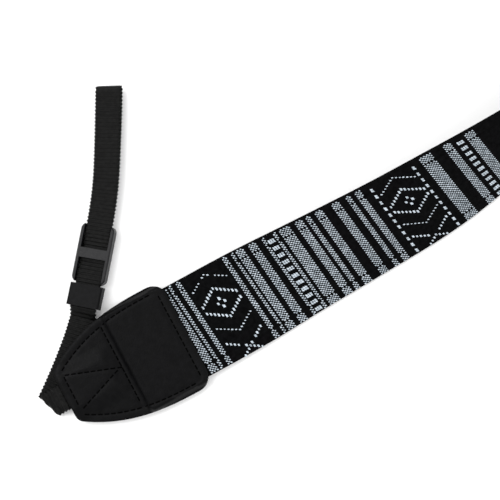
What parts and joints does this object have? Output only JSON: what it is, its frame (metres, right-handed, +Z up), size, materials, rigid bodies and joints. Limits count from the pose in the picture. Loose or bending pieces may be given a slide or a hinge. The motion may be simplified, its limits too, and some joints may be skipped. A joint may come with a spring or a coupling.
{
  "type": "camera neck strap",
  "caption": "Woven patterned camera neck strap with leather end tabs, narrow webbing, keepers and three-bar slides, lying in an open loop.",
  "frame": {"origin": "middle of the strap's box, on the surface it lies on", "axes": "+X from the webbing ends towards the middle of the neck band, +Y from the first end to the second, +Z up"},
  "size_m": [0.4272, 0.2612, 0.038],
  "materials": {
    "woven_band": "black and pale grey jacquard weave, matt, with a ribbed black ground",
    "leather": "smooth black leather with a fine grain and a soft sheen",
    "webbing": "black ribbed nylon webbing, matt",
    "moulded_plastic": "black moulded plastic, satin, edges slightly polished"
  },
  "bodies": {
    "root": {"neck_band": "woven_band", "first_tab_back_leather": "leather", "first_tab_front_leather": "leather", "first_webbing": "webbing", "first_keeper": "moulded_plastic", "first_slide": "moulded_plastic", "second_tab_back_leather": "leather", "second_tab_front_leather": "leather", "second_webbing": "webbing", "second_keeper": "moulded_plastic", "second_slide": "moulded_plastic"}
  },
  "joints": []
}
